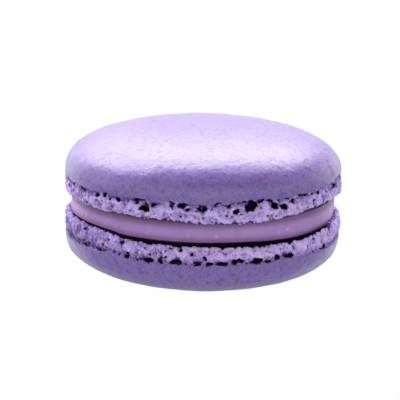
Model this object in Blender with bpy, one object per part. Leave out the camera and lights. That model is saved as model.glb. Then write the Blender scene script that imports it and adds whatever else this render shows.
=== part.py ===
"""A french macaron: two almond meringue shells with ruffled feet, and a cream filling between them.

Metres, +Z up. The origin is the centre of the small flat spot that the lower shell rests on.
Angles run from +X towards +Y, so the side that faces a viewer looking along +Y is at -90 degrees.
"""

import math
import random

import bmesh
import bpy
from mathutils import Vector, noise

MM = 0.001

# Driving sizes
SHELL_RADIUS = 22.5 * MM
FOOT_RADIUS = 22.65 * MM
FOOT_HEIGHT = 3.1 * MM
LOWER_CRUST_HEIGHT = 7.4 * MM
UPPER_CRUST_HEIGHT = 8.05 * MM
FILLING_SPACE = 3.35 * MM
FILLING_RADIUS = 21.45 * MM
FILLING_GAP = 0.3 * MM
REST_RADIUS = 8.5 * MM

# Levels that follow from them
LOWER_INNER_FACE = LOWER_CRUST_HEIGHT + FOOT_HEIGHT
UPPER_INNER_FACE = LOWER_INNER_FACE + FILLING_SPACE

# The crust is a superellipse turned about the axis: (radius power, height power)
LOWER_CRUST_POWERS = (2.55, 2.65)
UPPER_CRUST_POWERS = (2.05, 2.6)

# Columns of vertices round the foot, and the fewer that the smooth crown needs
FOOT_COLUMNS = 144
CROWN_COLUMNS = 72
FILLING_COLUMNS = 72

# Waves round the edge, each (waves in a turn, height, start angle in radians)
UPPER_SKIRT_WAVES = (
    (1, 0.42 * MM, 0.0),
    (3, 0.10 * MM, 0.6),
    (7, 0.10 * MM, 2.1),
    (13, 0.08 * MM, 4.0),
    (22, 0.06 * MM, 1.0),
)
LOWER_SKIRT_WAVES = (
    (2, 0.12 * MM, 0.3),
    (5, 0.10 * MM, 1.7),
    (9, 0.09 * MM, 5.2),
    (16, 0.08 * MM, 0.4),
    (25, 0.06 * MM, 3.0),
)
UPPER_RUFFLE_WAVES = ((6, 0.07 * MM, 0.9), (11, 0.08 * MM, 3.3), (19, 0.07 * MM, 5.1))
LOWER_RUFFLE_WAVES = ((5, 0.07 * MM, 2.2), (12, 0.08 * MM, 0.5), (21, 0.07 * MM, 4.4))

# The cream lies a little nearer the right side
FILLING_WAVES = ((1, 0.35 * MM, 0.0), (2, 0.15 * MM, 3.14), (3, 0.06 * MM, 1.2), (8, 0.05 * MM, 3.9))

# The rim is the foot's edge beside the filling, each point of it (inset from the foot's
# radius, height, share of relief). Below the first figure it only has dents. The lower
# shell's rim falls away sooner, which leaves a dark crevice below the cream.
RIM_HEIGHT = 0.5 * MM
UPPER_RIM = (
    (2.20 * MM, 0.0, 0.0),
    (1.15 * MM, 0.03 * MM, 0.25),
    (0.60 * MM, 0.18 * MM, 0.6),
    (0.25 * MM, 0.48 * MM, 0.9),
    (0.05 * MM, 0.86 * MM, 1.0),
)
LOWER_RIM = (
    (2.20 * MM, 0.0, 0.0),
    (1.30 * MM, 0.30 * MM, 0.25),
    (0.65 * MM, 0.46 * MM, 0.6),
    (0.25 * MM, 0.66 * MM, 0.9),
    (0.05 * MM, 0.94 * MM, 1.0),
)

# The foot's side, as (height, share of the recess): it draws back just under the crust
RECESS = 0.28 * MM
WALL = (
    (1.22 * MM, 0.0),
    (1.58 * MM, 0.0),
    (1.94 * MM, 0.0),
    (2.28 * MM, 0.3),
    (2.60 * MM, 0.75),
    (2.88 * MM, 1.0),
)

# The crust's lower edge stands out a little over the foot, and is smooth from this height up
LIP_PROUD = 0.05 * MM
LIP_RISE = 0.05 * MM
LIP_RELIEF = 0.35
SMOOTH_FROM = 0.55 * MM

# Steps up the superellipse in degrees. Those below the second figure keep the foot's columns.
CROWN_STEPS = (8, 15, 22, 29, 37, 46, 56, 66, 78)
FINE_COLUMNS_BELOW = 25

# Crumb relief on the foot
CRUMB_SIZE = 1.1 * MM
CRUMB_DEPTH = 0.30 * MM
GRIT_SIZE = 0.5 * MM
GRIT_DEPTH = 0.16 * MM
PROUDEST_CRUMB = 0.12 * MM

# Vertices shift along their ring by up to this share of a step, so that no column shows.
# The noise behind it moves on by these amounts for each column and each crumb of height.
COLUMN_JITTER = 0.22
JITTER_ALONG = 0.7
JITTER_UP = 3.1

# Burst bubbles on the near side, each (degrees to the right of the middle, height above the
# inner face, half width, half height, depth), the lengths in millimetres
NEAR_SECTOR = 80
UPPER_NEAR_HOLES = (
    (-76, 2.5, 0.5, 0.3, 0.6),
    (-44, 2.4, 0.8, 0.3, 0.9),
    (-27, 2.9, 0.5, 0.35, 1.0),
    (-23, 1.7, 0.9, 0.45, 1.4),
    (-10, 1.6, 0.4, 0.6, 0.7),
    (-5, 2.6, 0.7, 0.4, 1.3),
    (1, 2.0, 0.5, 0.3, 1.1),
    (10, 2.7, 0.5, 0.25, 0.5),
    (14, 1.5, 0.3, 0.3, 0.8),
    (19, 2.5, 0.95, 0.75, 1.7),
    (29, 2.1, 0.5, 0.4, 1.2),
    (33, 1.8, 0.7, 0.5, 1.5),
    (37, 2.7, 0.4, 0.4, 0.8),
    (45, 2.9, 0.5, 0.35, 1.1),
    (53, 2.9, 0.45, 0.3, 0.9),
    (67, 2.9, 0.8, 0.35, 1.1),
)
LOWER_NEAR_HOLES = (
    (-71, 2.6, 0.5, 0.3, 0.7),
    (-50, 3.4, 0.4, 0.2, 0.6),
    (-31, 3.2, 0.4, 0.35, 0.9),
    (-19, 3.0, 0.55, 0.35, 1.3),
    (-16, 3.1, 0.45, 0.25, 1.1),
    (-9, 3.0, 0.75, 0.6, 1.0),
    (-8, 0.6, 0.4, 0.35, 1.0),
    (-4, 1.5, 0.4, 0.4, 0.6),
    (3, 2.9, 0.6, 0.25, 1.2),
    (8, 3.1, 0.85, 0.45, 1.5),
    (13, 2.6, 1.0, 0.25, 1.3),
    (21, 2.9, 0.6, 0.4, 1.3),
    (30, 2.9, 0.5, 0.6, 1.2),
    (37, 2.9, 1.0, 0.4, 1.4),
    (58, 3.2, 0.5, 0.25, 0.8),
)

# The facets are too coarse for a hole smaller than this
SMALLEST_HALF_WIDTH = 0.6 * MM
SMALLEST_HALF_HEIGHT = 0.4 * MM

# The other bubbles are drawn: a row of holes by the crust, and smaller ones over the foot.
# Each row is (holes in a turn, radius range, depth range, least height, greatest height).
HOLE_JITTER = 0.35
DRAWN_HOLES = (
    (46, (0.5 * MM, 1.05 * MM), (0.6 * MM, 1.5 * MM), FOOT_HEIGHT - 0.75 * MM, FOOT_HEIGHT - 0.1 * MM),
    (70, (0.45 * MM, 0.8 * MM), (0.3 * MM, 0.7 * MM), 0.5 * MM, FOOT_HEIGHT - 0.9 * MM),
)

# The filling's side, as (distance in from its radius, share of its height)
FILLING_SIDE = (
    (1.30 * MM, 0.0),
    (0.62 * MM, 0.03),
    (0.18 * MM, 0.17),
    (0.0, 0.38),
    (0.0, 0.60),
    (0.12 * MM, 0.80),
    (0.40 * MM, 0.95),
    (0.90 * MM, 1.0),
)

# Edges sharper than this are shaded as edges
SHARP_DEGREES = 50


def clear_scene():
    for old in list(bpy.data.objects):
        bpy.data.objects.remove(old, do_unlink=True)


def make_material(name, colour, roughness):
    material = bpy.data.materials.new(name)
    material.use_nodes = True
    shader = material.node_tree.nodes["Principled BSDF"]
    shader.inputs["Base Color"].default_value = (*colour, 1.0)
    shader.inputs["Roughness"].default_value = roughness
    shader.inputs["Metallic"].default_value = 0.0
    return material


def wave(waves, angle):
    return sum(height * math.cos(count * angle + start) for count, height, start in waves)


def place_holes(near_holes, seed):
    """Holes as (angle, height above the inner face, half width, half height, depth)."""
    holes = []
    for degrees, height, half_width, half_height, depth in near_holes:
        angle = math.radians(degrees - 90)
        wide = max(half_width * MM, SMALLEST_HALF_WIDTH)
        tall = max(half_height * MM, SMALLEST_HALF_HEIGHT)
        holes.append((angle, height * MM, wide, tall, depth * MM))
    draw = random.Random(seed)
    for count, radii, depths, lowest, highest in DRAWN_HOLES:
        for index in range(count):
            degrees = 360 * (index + draw.uniform(-HOLE_JITTER, HOLE_JITTER)) / count
            height = draw.uniform(lowest, highest)
            radius = draw.uniform(*radii)
            depth = draw.uniform(*depths)
            from_near_side = abs((degrees + 270) % 360 - 180)
            if from_near_side > NEAR_SECTOR:
                holes.append((math.radians(degrees), height, radius, radius, depth))
    return holes


def hole_depth(holes, angle, height):
    """How far the deepest hole here cuts in."""
    deepest = 0.0
    for hole_angle, hole_height, half_width, half_height, depth in holes:
        turn = (angle - hole_angle + math.pi) % (2 * math.pi) - math.pi
        away = math.hypot(turn * FOOT_RADIUS / half_width, (height - hole_height) / half_height)
        if away < 1.0:
            deepest = max(deepest, depth * math.sqrt(1.0 - away * away))
    return deepest


def crumb_relief(angle, height, seed):
    """Lumps and grit, from about -1 to 1 times their depths."""
    place = Vector((math.cos(angle) * FOOT_RADIUS, math.sin(angle) * FOOT_RADIUS, height + seed))
    lumps = noise.noise(place / CRUMB_SIZE)
    grit = noise.noise(place / GRIT_SIZE)
    return CRUMB_DEPTH * lumps + GRIT_DEPTH * grit


def foot_rows(rim):
    """The foot's outline from the inner face to the crust: (radius, height, share of relief)."""
    edge = [(FOOT_RADIUS - inset, height, share) for inset, height, share in rim]
    wall = [(FOOT_RADIUS - RECESS * share, height, 1.0) for height, share in WALL]
    return edge + wall


def crust_rows(crust_height, powers, rest_radius):
    """The crust's outline from the skirt to the crown: (radius, height, share of relief, columns)."""
    rows = [
        (SHELL_RADIUS + LIP_PROUD, FOOT_HEIGHT + LIP_RISE, LIP_RELIEF, FOOT_COLUMNS),
        (SHELL_RADIUS, FOOT_HEIGHT + SMOOTH_FROM, 0.0, FOOT_COLUMNS),
    ]
    for degrees in CROWN_STEPS:
        a = math.radians(degrees)
        radius = SHELL_RADIUS * math.cos(a) ** (2 / powers[0])
        height = FOOT_HEIGHT + crust_height * math.sin(a) ** (2 / powers[1])
        if radius <= rest_radius:
            break
        columns = FOOT_COLUMNS if degrees < FINE_COLUMNS_BELOW else CROWN_COLUMNS
        rows.append((radius, height, 0.0, columns))
    return rows


def place_row(mesh, row, columns, shell):
    """One ring of vertices, with the shell's waves, relief and holes worked in."""
    radius, height, share = row
    under_filling = height < RIM_HEIGHT
    skirt_share = max(0.0, 1.0 - abs(height - FOOT_HEIGHT) / FOOT_HEIGHT)
    ruffle_share = share if under_filling else max(0.0, min(1.0, 2.0 - height / FOOT_HEIGHT))
    ring = []
    for column in range(columns):
        angle = 2 * math.pi * column / columns
        if share:
            step = 2 * math.pi / columns
            place = Vector((column * JITTER_ALONG, height / CRUMB_SIZE * JITTER_UP, shell["seed"]))
            angle += step * COLUMN_JITTER * noise.noise(place)
        depth = share * hole_depth(shell["holes"], angle, height)
        bump = share * crumb_relief(angle, height, shell["seed"])
        sideways = radius + ruffle_share * wave(shell["ruffle"], angle)
        upward = height + skirt_share * wave(shell["skirt"], angle)
        if under_filling:
            # The rim only has dents, so that it stays clear of the filling
            upward += max(0.0, bump) + depth / 2
        else:
            sideways += min(bump, PROUDEST_CRUMB) - depth
        z = shell["inner_face"] + shell["way"] * upward
        ring.append(mesh.verts.new((sideways * math.cos(angle), sideways * math.sin(angle), z)))
    return ring


def bridge(mesh, first, second):
    """Faces between two rings, where the second may have half as many vertices as the first."""
    step = len(first) // len(second)
    count = len(second)
    for index in range(count):
        near, far = second[index], second[(index + 1) % count]
        base = [first[(index * step + k) % len(first)] for k in range(step + 1)]
        if step == 1:
            mesh.faces.new((base[0], base[1], far, near))
        else:
            mesh.faces.new((base[0], base[1], near))
            mesh.faces.new((base[1], far, near))
            mesh.faces.new((base[1], base[2], far))


def make_shell(
    name, inner_face, way, crust_height, powers, rest_radius, rim, skirt, ruffle, near_holes, seed, material
):
    """A shell that opens from its inner face: way is 1 for the upper shell and -1 for the lower."""
    shell = {
        "inner_face": inner_face,
        "way": way,
        "skirt": skirt,
        "ruffle": ruffle,
        "seed": seed,
        "holes": place_holes(near_holes, seed),
    }
    mesh = bmesh.new()
    rings = [place_row(mesh, row, FOOT_COLUMNS, shell) for row in foot_rows(rim)]
    crust = crust_rows(crust_height, powers, rest_radius)
    rings += [place_row(mesh, row[:3], row[3], shell) for row in crust]
    mesh.faces.new(rings[0])
    for first, second in zip(rings, rings[1:]):
        bridge(mesh, first, second)
    crown_height = inner_face + way * (FOOT_HEIGHT + crust_height)
    if rest_radius:
        outward = [v.co.xy.normalized() * rest_radius for v in rings[-1]]
        spot = [mesh.verts.new((edge.x, edge.y, crown_height)) for edge in outward]
        bridge(mesh, rings[-1], spot)
        mesh.faces.new(spot)
    else:
        pole = mesh.verts.new((0.0, 0.0, crown_height))
        last = rings[-1]
        for index, vertex in enumerate(last):
            mesh.faces.new((vertex, last[(index + 1) % len(last)], pole))
    return finish_object(name, mesh, material)


def make_filling(material):
    """A disc of cream whose side bulges out and curls in above the lower shell."""
    low = LOWER_INNER_FACE + FILLING_GAP
    high = UPPER_INNER_FACE - FILLING_GAP
    height = high - low
    mesh = bmesh.new()
    rings = []
    for inset, share in FILLING_SIDE:
        ring = []
        for column in range(FILLING_COLUMNS):
            angle = 2 * math.pi * column / FILLING_COLUMNS
            radius = FILLING_RADIUS - inset + wave(FILLING_WAVES, angle)
            ring.append(mesh.verts.new((radius * math.cos(angle), radius * math.sin(angle), low + share * height)))
        rings.append(ring)
    mesh.faces.new(rings[0])
    for first, second in zip(rings, rings[1:]):
        bridge(mesh, first, second)
    mesh.faces.new(rings[-1])
    return finish_object("filling", mesh, material)


def finish_object(name, mesh, material):
    bmesh.ops.recalc_face_normals(mesh, faces=mesh.faces)
    data = bpy.data.meshes.new(name)
    mesh.to_mesh(data)
    mesh.free()
    data.materials.append(material)
    data.shade_smooth()
    data.set_sharp_from_angle(angle=math.radians(SHARP_DEGREES))
    made = bpy.data.objects.new(name, data)
    bpy.context.scene.collection.objects.link(made)
    return made


def main():
    clear_scene()
    crust = make_material("lavender_shell", (0.44, 0.33, 0.72), 0.45)
    cream = make_material("mauve_cream", (0.40, 0.25, 0.47), 0.4)
    make_shell(
        "bottom_shell",
        inner_face=LOWER_INNER_FACE,
        way=-1,
        crust_height=LOWER_CRUST_HEIGHT,
        powers=LOWER_CRUST_POWERS,
        rest_radius=REST_RADIUS,
        rim=LOWER_RIM,
        skirt=LOWER_SKIRT_WAVES,
        ruffle=LOWER_RUFFLE_WAVES,
        near_holes=LOWER_NEAR_HOLES,
        seed=11,
        material=crust,
    )
    make_filling(cream)
    make_shell(
        "top_shell",
        inner_face=UPPER_INNER_FACE,
        way=1,
        crust_height=UPPER_CRUST_HEIGHT,
        powers=UPPER_CRUST_POWERS,
        rest_radius=0.0,
        rim=UPPER_RIM,
        skirt=UPPER_SKIRT_WAVES,
        ruffle=UPPER_RUFFLE_WAVES,
        near_holes=UPPER_NEAR_HOLES,
        seed=5,
        material=crust,
    )


main()
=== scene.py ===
import math
import random

import bpy
from mathutils import Matrix, Vector


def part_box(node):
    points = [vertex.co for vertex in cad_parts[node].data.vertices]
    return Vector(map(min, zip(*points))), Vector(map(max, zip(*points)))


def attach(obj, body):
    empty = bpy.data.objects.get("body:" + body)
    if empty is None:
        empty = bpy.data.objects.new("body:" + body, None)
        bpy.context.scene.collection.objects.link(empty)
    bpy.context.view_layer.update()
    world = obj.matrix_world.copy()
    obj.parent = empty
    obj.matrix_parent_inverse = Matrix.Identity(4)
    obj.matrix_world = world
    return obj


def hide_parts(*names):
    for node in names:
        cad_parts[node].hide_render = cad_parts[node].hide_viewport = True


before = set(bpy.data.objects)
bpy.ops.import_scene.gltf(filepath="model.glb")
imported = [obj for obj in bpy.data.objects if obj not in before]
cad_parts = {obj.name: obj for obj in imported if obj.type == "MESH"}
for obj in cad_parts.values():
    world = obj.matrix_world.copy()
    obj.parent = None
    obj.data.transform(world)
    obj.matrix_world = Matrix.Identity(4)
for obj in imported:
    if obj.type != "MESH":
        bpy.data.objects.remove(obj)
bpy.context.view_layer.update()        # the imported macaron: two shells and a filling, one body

mm = 0.001
bodyName = "root"

# levels that the solids give: where each shell meets the filling, and the crown
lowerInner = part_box("bottom_shell")[1].z
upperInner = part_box("top_shell")[0].z
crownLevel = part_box("top_shell")[1].z
shellRadius = 22.5 * mm
footHeight = 3.1 * mm


# node helpers: every value may be a plain number or another node's output

def plug(tree, value, socket):
    if isinstance(value, bpy.types.NodeSocket):
        tree.links.new(value, socket)
    else:
        socket.default_value = value


def addNode(tree, kind, inputs, **choices):
    # inputs: what goes into its sockets, by their names or numbers
    node = tree.nodes.new(kind)
    for label, choice in choices.items():
        setattr(node, label, choice)
    for label, value in inputs.items():
        plug(tree, value, node.inputs[label])
    return node


def calc(tree, operation, *values):
    return addNode(tree, "ShaderNodeMath", dict(enumerate(values)), operation=operation).outputs[0]


def plus(tree, first, second):
    return calc(tree, "ADD", first, second)


def minus(tree, first, second):
    return calc(tree, "SUBTRACT", first, second)


def times(tree, first, second):
    return calc(tree, "MULTIPLY", first, second)


def over(tree, first, second):
    return calc(tree, "DIVIDE", first, second)


def calcVector(tree, operation, *values, scale=None):
    node = addNode(tree, "ShaderNodeVectorMath", dict(enumerate(values)), operation=operation)
    if scale is not None:
        plug(tree, scale, node.inputs["Scale"])
    return node.outputs["Value" if operation == "LENGTH" else "Vector"]


def splitVector(tree, vector):
    return addNode(tree, "ShaderNodeSeparateXYZ", {0: vector}).outputs


def joinVector(tree, x, y, z):
    return addNode(tree, "ShaderNodeCombineXYZ", {0: x, 1: y, 2: z}).outputs[0]


def remap(tree, value, fromLow, fromHigh, toLow, toHigh, smooth=False):
    inputs = dict(enumerate((value, fromLow, fromHigh, toLow, toHigh)))
    way = "SMOOTHSTEP" if smooth else "LINEAR"
    return addNode(tree, "ShaderNodeMapRange", inputs, interpolation_type=way).outputs[0]


def noiseAt(tree, place, size, detail=2.0, rough=0.5, colour=False):
    # noise with lumps of the given size, from about 0 to 1
    inputs = {"Vector": place, "Scale": over(tree, 1.0, size), "Detail": detail, "Roughness": rough}
    return addNode(tree, "ShaderNodeTexNoise", inputs).outputs["Color" if colour else "Fac"]


def cellsAt(tree, place, size):
    # cells of the given size: the node's Distance is in cells
    inputs = {"Vector": place, "Scale": over(tree, 1.0, size)}
    return addNode(tree, "ShaderNodeTexVoronoi", inputs).outputs


def evenNoise(tree, place, size, detail=2.0, rough=0.5):
    # the same noise, as far below zero as above it
    return minus(tree, noiseAt(tree, place, size, detail, rough), 0.5)


def stirPlace(tree, place, size, detail, reach):
    # the place moved about by noise, so that round patterns lose their round edges
    stir = noiseAt(tree, place, size, detail, colour=True)
    stir = calcVector(tree, "SUBTRACT", stir, (0.5, 0.5, 0.5))
    return calcVector(tree, "ADD", place, calcVector(tree, "SCALE", stir, scale=reach))


def hypotenuse(tree, a, b):
    return calc(tree, "SQRT", calc(tree, "MULTIPLY_ADD", a, a, times(tree, b, b)))


def placeRound(tree, angle, radius, level):
    # the place at this angle about the axis
    aside = times(tree, calc(tree, "COSINE", angle), radius)
    ahead = times(tree, calc(tree, "SINE", angle), radius)
    return joinVector(tree, aside, ahead, level)


def ownPlace(tree):
    return tree.nodes.new("GeometryNodeInputPosition").outputs[0]


def readAttribute(tree, label, kind="FLOAT"):
    node = addNode(tree, "GeometryNodeInputNamedAttribute", {"Name": label}, data_type=kind)
    return node.outputs["Attribute"]


def storeAttribute(tree, geometry, label, value):
    inputs = {"Geometry": geometry, "Name": label, "Value": value}
    return addNode(tree, "GeometryNodeStoreNamedAttribute", inputs).outputs[0]


def sampleAt(tree, geometry, index, field, kind="FLOAT"):
    inputs = {"Geometry": geometry, "Value": field, "Index": index}
    return addNode(tree, "GeometryNodeSampleIndex", inputs, data_type=kind).outputs[0]


def movePoints(tree, geometry, label, vector):
    # label is Position for a new place, Offset for a shift
    inputs = {"Geometry": geometry, label: vector}
    return addNode(tree, "GeometryNodeSetPosition", inputs).outputs[0]


def waveSum(tree, angle, waves):
    # each wave is (waves in a turn, height, start angle), as the solids have them
    total = 0.0
    for count, height, start in waves:
        turned = calc(tree, "MULTIPLY_ADD", angle, float(count), start)
        total = calc(tree, "MULTIPLY_ADD", calc(tree, "COSINE", turned), height, total)
    return total


def levelRound(tree, x, y, levels):
    # a level that follows (degrees to the right of the middle, millimetres) all the way round
    turn = calc(tree, "ARCTAN2", x, times(tree, y, -1.0))
    turn = remap(tree, turn, -math.pi, math.pi, 0.0, 1.0)
    node = addNode(tree, "ShaderNodeFloatCurve", {"Value": turn})
    points = node.mapping.curves[0].points
    while len(points) < len(levels):
        points.new(0.5, 0.5)
    for point, (degrees, level) in zip(points, levels):
        point.location = ((degrees + 180) / 360, level / 2 + 0.5)
    node.mapping.update()
    return remap(tree, node.outputs[0], 0.0, 1.0, -1.0 * mm, 1.0 * mm)


def inputName(key):
    # a setting's input in its tree: raggedSize is Ragged Size
    return "".join(" " + letter if letter.isupper() else letter for letter in key).title()


def inputValues(settings, keys, material):
    values = {inputName(key): settings[key] for key in keys}
    values["Material"] = material
    return values


def newTree(name, sizes, wholes=()):
    # a tree with one named input for each size and whole number, and one for the material
    tree = bpy.data.node_groups.new(name, "GeometryNodeTree")
    face = tree.interface
    face.new_socket("Geometry", in_out="INPUT", socket_type="NodeSocketGeometry")
    face.new_socket("Geometry", in_out="OUTPUT", socket_type="NodeSocketGeometry")
    for key in sizes:
        face.new_socket(inputName(key), in_out="INPUT", socket_type="NodeSocketFloat")
    for key in wholes:
        face.new_socket(inputName(key), in_out="INPUT", socket_type="NodeSocketInt")
    face.new_socket("Material", in_out="INPUT", socket_type="NodeSocketMaterial")
    given = tree.nodes.new("NodeGroupInput").outputs
    made = tree.nodes.new("NodeGroupOutput").inputs
    return tree, given, made


def finishTree(tree, geometry, material, made):
    # instances realized, one material over the whole piece
    whole = addNode(tree, "GeometryNodeRealizeInstances", {0: geometry}).outputs[0]
    paint = addNode(tree, "GeometryNodeSetMaterial", {"Geometry": whole, "Material": material})
    tree.links.new(paint.outputs[0], made[0])


def addObject(name, data):
    made = bpy.data.objects.new(name, data)
    bpy.context.scene.collection.objects.link(made)
    return made


def bakeForm(piece):
    # what its modifiers make becomes the piece's own mesh
    grown = piece.evaluated_get(bpy.context.evaluated_depsgraph_get())
    plain = bpy.data.meshes.new_from_object(grown)
    piece.modifiers.clear()
    piece.data = plain


def makePiece(name, tree, values, start):
    # grows the piece from its starting mesh
    piece = addObject(name, start)
    form = piece.modifiers.new("form", "NODES")
    form.node_group = tree
    for item in tree.interface.items_tree:
        if item.in_out == "INPUT" and item.name in values:
            form[item.identifier] = values[item.name]
    bakeForm(piece)
    piece.data.name = name
    return piece


def thinOut(piece, mostTriangles):
    # collapses the flattest faces first, until the piece is under its limit
    piece.data.calc_loop_triangles()
    triangles = len(piece.data.loop_triangles)
    if triangles > mostTriangles:
        fewer = piece.modifiers.new("fewer", "DECIMATE")
        fewer.ratio = mostTriangles / triangles
        bakeForm(piece)
    piece.data.shade_smooth()


def placePiece(piece, slotName, *nodes):
    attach(piece, bodyName)
    if nodes:
        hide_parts(*nodes)
    piece.data.calc_loop_triangles()
    print(piece.name, len(piece.data.loop_triangles), "triangles")


# turned forms: the crusts and the cream are an outline turned about the axis

turnedSizes = ("raggedHeight", "raggedSize", "swellHeight", "swellSize", "wrinkleHeight", "wrinkleSize")
turnedWholes = ("columns",)
mergeDistance = 0.002 * mm


def outlineMesh(name, rows):
    # the outline as a chain of points: radius, level, and how much each point takes of the waves,
    # the ragged edge and the swell
    mesh = bpy.data.meshes.new(name)
    mesh.from_pydata([(row[0], 0.0, row[1]) for row in rows], [], [])
    for label, column in (("waveShare", 2), ("raggedShare", 3), ("swellShare", 4)):
        attribute = mesh.attributes.new(label, "FLOAT", "POINT")
        attribute.data.foreach_set("value", [row[column] for row in rows])
    return mesh


def turnedTree(name, waves, way):
    tree, given, made = newTree(name, turnedSizes, turnedWholes)
    outline = given["Geometry"]
    rows = addNode(tree, "GeometryNodeAttributeDomainSize", {0: outline}).outputs["Point Count"]
    columns = plus(tree, given["Columns"], 1.0)
    grid = addNode(tree, "GeometryNodeMeshGrid", {"Vertices X": columns, "Vertices Y": rows})

    index = tree.nodes.new("GeometryNodeInputIndex").outputs[0]
    column = calc(tree, "FLOOR", over(tree, plus(tree, index, 0.5), rows))
    row = minus(tree, index, times(tree, column, rows))
    angle = times(tree, over(tree, column, given["Columns"]), 2 * math.pi)

    # each grid point takes the place and the shares of its point in the outline
    place = sampleAt(tree, outline, row, ownPlace(tree), "FLOAT_VECTOR")
    waveShare, raggedShare, swellShare = (
        sampleAt(tree, outline, row, readAttribute(tree, label))
        for label in ("waveShare", "raggedShare", "swellShare")
    )
    radius, _, level = splitVector(tree, place)
    onRim = placeRound(tree, angle, shellRadius, 0.0)
    ragged = evenNoise(tree, onRim, given["Ragged Size"], 3.0, 0.65)
    ragged = times(tree, ragged, given["Ragged Height"])
    rise = times(tree, waveSum(tree, angle, waves), waveShare)
    rise = calc(tree, "MULTIPLY_ADD", ragged, raggedShare, rise)
    turned = placeRound(tree, angle, radius, calc(tree, "MULTIPLY_ADD", rise, float(way), level))
    laid = storeAttribute(tree, grid.outputs["Mesh"], "swellShare", swellShare)
    laid = movePoints(tree, laid, "Position", turned)
    seam = {"Geometry": laid, "Distance": mergeDistance}
    closed = addNode(tree, "GeometryNodeMergeByDistance", seam).outputs[0]

    # slow swells and finer wrinkles, pushed along the surface's own normal
    here = ownPlace(tree)
    swell = evenNoise(tree, here, given["Swell Size"])
    wrinkle = evenNoise(tree, here, given["Wrinkle Size"])
    push = times(tree, swell, given["Swell Height"])
    push = calc(tree, "MULTIPLY_ADD", wrinkle, given["Wrinkle Height"], push)
    push = times(tree, push, readAttribute(tree, "swellShare"))
    normal = tree.nodes.new("GeometryNodeInputNormal").outputs[0]
    shift = calcVector(tree, "SCALE", normal, scale=push)
    finishTree(tree, movePoints(tree, closed, "Offset", shift), given["Material"], made)
    return tree


# the crusts

# the skirt rises and falls round the shell, and the foot's ruffle goes in and out, as in the solids
skirtWaves = {
    "top": (
        (1, 0.42 * mm, 0.0), (3, 0.10 * mm, 0.6), (7, 0.10 * mm, 2.1), (13, 0.08 * mm, 4.0),
        (22, 0.06 * mm, 1.0),
    ),
    "bottom": (
        (2, 0.12 * mm, 0.3), (5, 0.10 * mm, 1.7), (9, 0.09 * mm, 5.2), (16, 0.08 * mm, 0.4),
        (25, 0.06 * mm, 3.0),
    ),
}
ruffleWaves = {
    "top": ((6, 0.07 * mm, 0.9), (11, 0.08 * mm, 3.3), (19, 0.07 * mm, 5.1)),
    "bottom": ((5, 0.07 * mm, 2.2), (12, 0.08 * mm, 0.5), (21, 0.07 * mm, 4.4)),
}

crusts = {
    "topCrust": {
        "node": "top_shell",
        "side": "top",
        "inner": upperInner,
        "way": 1,
        "crown": crownLevel - upperInner - 0.05 * mm,    # the swells then stay under the solid's crown
        "powers": (2.05, 2.6),
        "restRadius": 0.0,
        "coreRadius": 20.4 * mm,
    },
    "bottomCrust": {
        "node": "bottom_shell",
        "side": "bottom",
        "inner": lowerInner,
        "way": -1,
        "crown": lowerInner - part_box("bottom_shell")[0].z,
        "powers": (2.62, 2.75),
        "restRadius": 8.5 * mm,
        "coreRadius": 16.5 * mm,
    },
}

crustFinish = {
    "columns": 600,
    "domeRows": 104,
    "skinEdge": 0.25 * mm,        # the skin ends this far above the foot
    "raggedHeight": 1.2 * mm,
    "raggedSize": 1.1 * mm,
    "raggedReach": 0.8 * mm,
    "swellHeight": 0.30 * mm,
    "swellSize": 5.5 * mm,
    "swellFrom": 0.5 * mm,        # above the skin's edge, and full this much higher up
    "swellFull": 1.0 * mm,
    "wrinkleHeight": 0.10 * mm,
    "wrinkleSize": 1.2 * mm,
    "flatMargin": 1.5 * mm,       # no swells this near to the spot it rests on
}


def crustOutline(crust):
    # from the crown's centre down to the skin's edge, under it, and back along the core to the axis
    height = crust["crown"] - footHeight
    steps = crustFinish["domeRows"]
    skinEdge = footHeight + crustFinish["skinEdge"]
    profile = []
    for step in range(steps + 1):
        turn = math.pi / 2 * (1 - step / steps)
        radius = shellRadius * max(0.0, math.cos(turn)) ** (2 / crust["powers"][0])
        level = footHeight + height * math.sin(turn) ** (2 / crust["powers"][1])
        if radius < crust["restRadius"]:
            level = crust["crown"]
        if level > skinEdge + 0.1 * mm:
            profile.append((0.0 if step == 0 else radius, level))
    core = crust["coreRadius"]
    edge = [
        (shellRadius - 0.005 * mm, skinEdge + 0.03 * mm),
        (shellRadius - 0.01 * mm, skinEdge),
        (shellRadius - 0.07 * mm, skinEdge + 0.02 * mm),
        (shellRadius - 0.18 * mm, skinEdge + 0.05 * mm),
        (shellRadius - 0.9 * mm, skinEdge + 0.15 * mm),
        (core, skinEdge + 0.15 * mm),
        (core, footHeight / 2),
        (core, 0.3 * mm),
        (core - 0.3 * mm, 0.0),
        (core / 2, 0.0),
        (0.0, 0.0),
    ]
    rows = []
    for radius, level in profile + edge:
        above = level - footHeight
        isSkin = radius > core + 0.1 * mm or level > skinEdge + 0.2 * mm
        waveShare = max(0.0, 1.0 - abs(above) / footHeight) if isSkin else 0.0
        fromEdge = abs(level - skinEdge)
        raggedShare = max(0.0, 1.0 - fromEdge / crustFinish["raggedReach"]) if isSkin else 0.0
        swellRise = level - skinEdge - crustFinish["swellFrom"]
        swellShare = min(1.0, max(0.0, swellRise / crustFinish["swellFull"]))
        if crust["restRadius"] and radius < crust["restRadius"] + crustFinish["flatMargin"]:
            swellShare = 0.0
        rows.append((radius, crust["inner"] + crust["way"] * level, waveShare, raggedShare, swellShare))
    return rows


def makeCrust(name, material):
    crust = crusts[name]
    tree = turnedTree(name + "Form", skirtWaves[crust["side"]], crust["way"])
    values = inputValues(crustFinish, turnedSizes + turnedWholes, material)
    piece = makePiece(name, tree, values, outlineMesh(name + "Outline", crustOutline(crust)))
    faceOutward(piece)
    placePiece(piece, "lavender_shell", crust["node"])


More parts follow.
